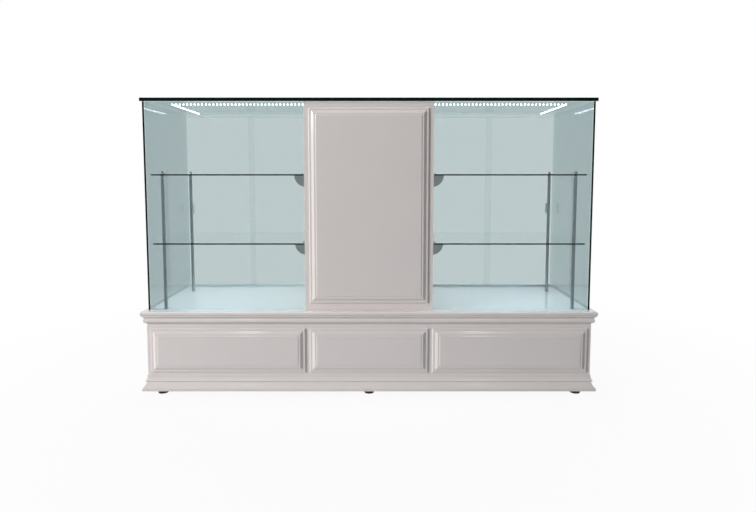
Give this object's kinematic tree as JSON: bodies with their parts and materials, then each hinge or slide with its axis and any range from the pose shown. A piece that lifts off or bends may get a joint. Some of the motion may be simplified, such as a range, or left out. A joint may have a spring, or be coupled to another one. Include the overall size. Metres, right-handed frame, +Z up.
{
  "type": "display counter",
  "caption": "Long shop counter with a panelled white base and pillar, a lit glass show case on each side with shelves on posts, and sliding doors at the back.",
  "frame": {"origin": "on the floor, under the centre of the counter's bounding box", "axes": "+X along the counter to the customer's right, +Y to the shopkeeper's side, +Z up"},
  "size_m": [2, 0.596, 1.312],
  "materials": {
    "white_lacquer": "glossy white lacquer on fibreboard",
    "clear_glass": "clear float glass with ground edges",
    "chrome": "polished",
    "satin_metal": "satin",
    "anodised_track": "anodised",
    "clear_track": "clear extruded",
    "light_lens": "clear domed",
    "black_plastic": "moulded",
    "driver_case": "moulded",
    "lead_sheath": "sheathed wire",
    "foot_black": "moulded",
    "socket_steel": "zinc plated"
  },
  "bodies": {
    "cabinet": {"deck_board": "white_lacquer", "base_front_board": "white_lacquer", "base_end_left": "white_lacquer", "base_end_right": "white_lacquer", "base_dividers": "white_lacquer", "base_bottom_board": "white_lacquer", "base_back_panel": "white_lacquer", "plinth_back_rail": "white_lacquer", "bed_moulding_front": "white_lacquer", "bed_moulding_ends": "white_lacquer", "plinth_moulding_front": "white_lacquer", "plinth_moulding_ends": "white_lacquer", "base_panel_left": "white_lacquer", "base_panel_middle": "white_lacquer", "base_panel_right": "white_lacquer", "pillar_front_board": "white_lacquer", "pillar_panel": "white_lacquer", "pillar_sides": "white_lacquer", "pillar_top_board": "white_lacquer", "pillar_header": "white_lacquer", "top_glass": "clear_glass", "front_glass_left": "clear_glass", "front_glass_right": "clear_glass", "side_glass_left": "clear_glass", "side_glass_right": "clear_glass", "lower_shelves": "clear_glass", "upper_shelves": "clear_glass", "post_lower_rods": "chrome", "post_upper_rods": "chrome", "post_cap_nuts": "chrome", "shelf_brackets": "satin_metal", "hinge_frame_leaves": "satin_metal", "panel_tracks": "anodised_track", "light_bars": "anodised_track", "glass_lower_tracks": "clear_track", "glass_upper_tracks": "clear_track", "light_lenses": "light_lens", "switch_housing": "black_plastic", "cord_gland": "black_plastic", "light_driver": "driver_case", "light_leads": "lead_sheath", "foot_sockets": "socket_steel"},
    "glass_door_left_a": {"glass_door_left_a": "clear_glass"},
    "glass_door_left_b": {"glass_door_left_b": "clear_glass"},
    "glass_door_right_a": {"glass_door_right_a": "clear_glass"},
    "glass_door_right_b": {"glass_door_right_b": "clear_glass"},
    "base_slider_left_a": {"base_slider_left_a": "white_lacquer"},
    "base_slider_left_b": {"base_slider_left_b": "white_lacquer"},
    "base_slider_right_a": {"base_slider_right_a": "white_lacquer"},
    "base_slider_right_b": {"base_slider_right_b": "white_lacquer"},
    "pillar_door": {"pillar_door": "white_lacquer", "door_knob": "chrome", "hinge_door_leaves": "satin_metal"},
    "switch_rocker": {"switch_rocker": "black_plastic"},
    "foot_front_left": {"foot_front_left": "foot_black"},
    "foot_front_middle": {"foot_front_middle": "foot_black"},
    "foot_front_right": {"foot_front_right": "foot_black"},
    "foot_rear_left": {"foot_rear_left": "foot_black"},
    "foot_rear_middle": {"foot_rear_middle": "foot_black"},
    "foot_rear_right": {"foot_rear_right": "foot_black"}
  },
  "joints": [
    {"name": "glass_door_left_a_slide", "type": "slide", "parent": "cabinet", "child": "glass_door_left_a", "axis": [1, 0, 0], "range_m": [0, 0.326]},
    {"name": "glass_door_left_b_slide", "type": "slide", "parent": "cabinet", "child": "glass_door_left_b", "axis": [1, 0, 0], "range_m": [-0.326, 0]},
    {"name": "glass_door_right_a_slide", "type": "slide", "parent": "cabinet", "child": "glass_door_right_a", "axis": [1, 0, 0], "range_m": [0, 0.326]},
    {"name": "glass_door_right_b_slide", "type": "slide", "parent": "cabinet", "child": "glass_door_right_b", "axis": [1, 0, 0], "range_m": [-0.326, 0]},
    {"name": "base_slider_left_a_slide", "type": "slide", "parent": "cabinet", "child": "base_slider_left_a", "axis": [1, 0, 0], "range_m": [0, 0.323]},
    {"name": "base_slider_left_b_slide", "type": "slide", "parent": "cabinet", "child": "base_slider_left_b", "axis": [1, 0, 0], "range_m": [-0.323, 0]},
    {"name": "base_slider_right_a_slide", "type": "slide", "parent": "cabinet", "child": "base_slider_right_a", "axis": [1, 0, 0], "range_m": [0, 0.323]},
    {"name": "base_slider_right_b_slide", "type": "slide", "parent": "cabinet", "child": "base_slider_right_b", "axis": [1, 0, 0], "range_m": [-0.323, 0]},
    {"name": "pillar_door_hinge", "type": "hinge", "parent": "cabinet", "child": "pillar_door", "pos_m": [-0.263, 0.2795, 0.815], "axis": [0, 0, 1], "range_deg": [0, 110]},
    {"name": "switch_rocker_hinge", "type": "hinge", "parent": "cabinet", "child": "switch_rocker", "pos_m": [0.19, 0.273, 1.267], "axis": [1, 0, 0], "range_deg": [-16, 0]},
    {"name": "foot_front_left_screw", "type": "slide", "parent": "cabinet", "child": "foot_front_left", "axis": [0, 0, -1], "range_m": [0, 0.012]},
    {"name": "foot_front_middle_screw", "type": "slide", "parent": "cabinet", "child": "foot_front_middle", "axis": [0, 0, -1], "range_m": [0, 0.012]},
    {"name": "foot_front_right_screw", "type": "slide", "parent": "cabinet", "child": "foot_front_right", "axis": [0, 0, -1], "range_m": [0, 0.012]},
    {"name": "foot_rear_left_screw", "type": "slide", "parent": "cabinet", "child": "foot_rear_left", "axis": [0, 0, -1], "range_m": [0, 0.012]},
    {"name": "foot_rear_middle_screw", "type": "slide", "parent": "cabinet", "child": "foot_rear_middle", "axis": [0, 0, -1], "range_m": [0, 0.012]},
    {"name": "foot_rear_right_screw", "type": "slide", "parent": "cabinet", "child": "foot_rear_right", "axis": [0, 0, -1], "range_m": [0, 0.012]}
  ]
}
